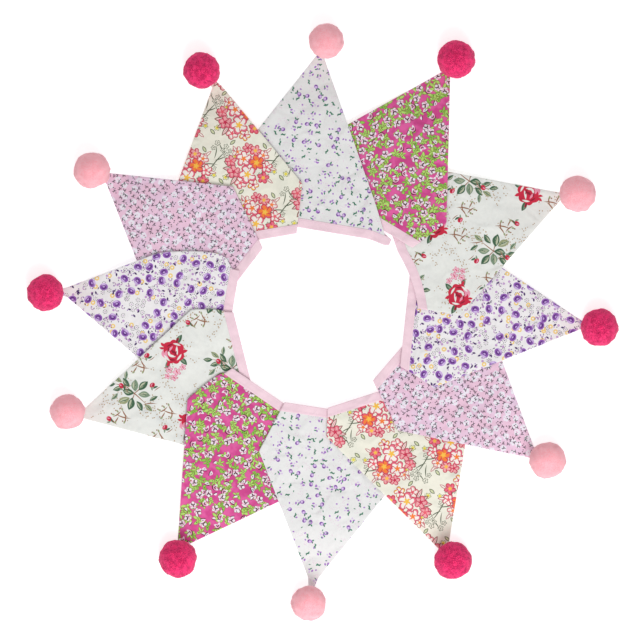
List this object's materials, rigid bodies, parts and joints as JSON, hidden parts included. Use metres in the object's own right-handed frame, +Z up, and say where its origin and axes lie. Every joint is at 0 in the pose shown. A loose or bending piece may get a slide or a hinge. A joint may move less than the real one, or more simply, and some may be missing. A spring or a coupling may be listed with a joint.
{
  "type": "fabric bunting",
  "caption": "Bunting of pointed printed cotton flags on one binding tape with a pompom on each point, laid in a ring with each flag over the next.",
  "frame": {"origin": "centre of the ring, on the surface that it lies on", "axes": "+Z up from the surface, +Y towards the first flag's point, +X to the right as seen from above"},
  "size_m": [0.5875, 0.5948, 0.0355],
  "materials": {
    "cotton_sprig": "white cotton with small violet flowers",
    "cotton_magenta": "magenta cotton with dense green leaves and pale flowers",
    "cotton_rose": "off-white cotton with red roses",
    "cotton_violet": "pale lilac cotton with round purple flowers",
    "cotton_daisy": "pink cotton with white flowers and dark sprigs",
    "cotton_blossom": "cream cotton with coral blossoms",
    "wool_pale": "pale pink cut pile",
    "wool_hot": "hot pink cut pile",
    "binding_tape": "pale pink folded bias tape"
  },
  "bodies": {
    "root": {"flag_01": "cotton_sprig", "pompom_01": "wool_pale", "flag_02": "cotton_magenta", "pompom_02": "wool_hot", "flag_03": "cotton_rose", "pompom_03": "wool_pale", "flag_04": "cotton_violet", "pompom_04": "wool_hot", "flag_05": "cotton_daisy", "pompom_05": "wool_pale", "flag_06": "cotton_blossom", "pompom_06": "wool_hot", "flag_07": "cotton_sprig", "pompom_07": "wool_pale", "flag_08": "cotton_magenta", "pompom_08": "wool_hot", "flag_09": "cotton_rose", "pompom_09": "wool_pale", "flag_10": "cotton_violet", "pompom_10": "wool_hot", "flag_11": "cotton_daisy", "pompom_11": "wool_pale", "flag_12": "cotton_blossom", "pompom_12": "wool_hot", "binding": "binding_tape"}
  },
  "joints": []
}
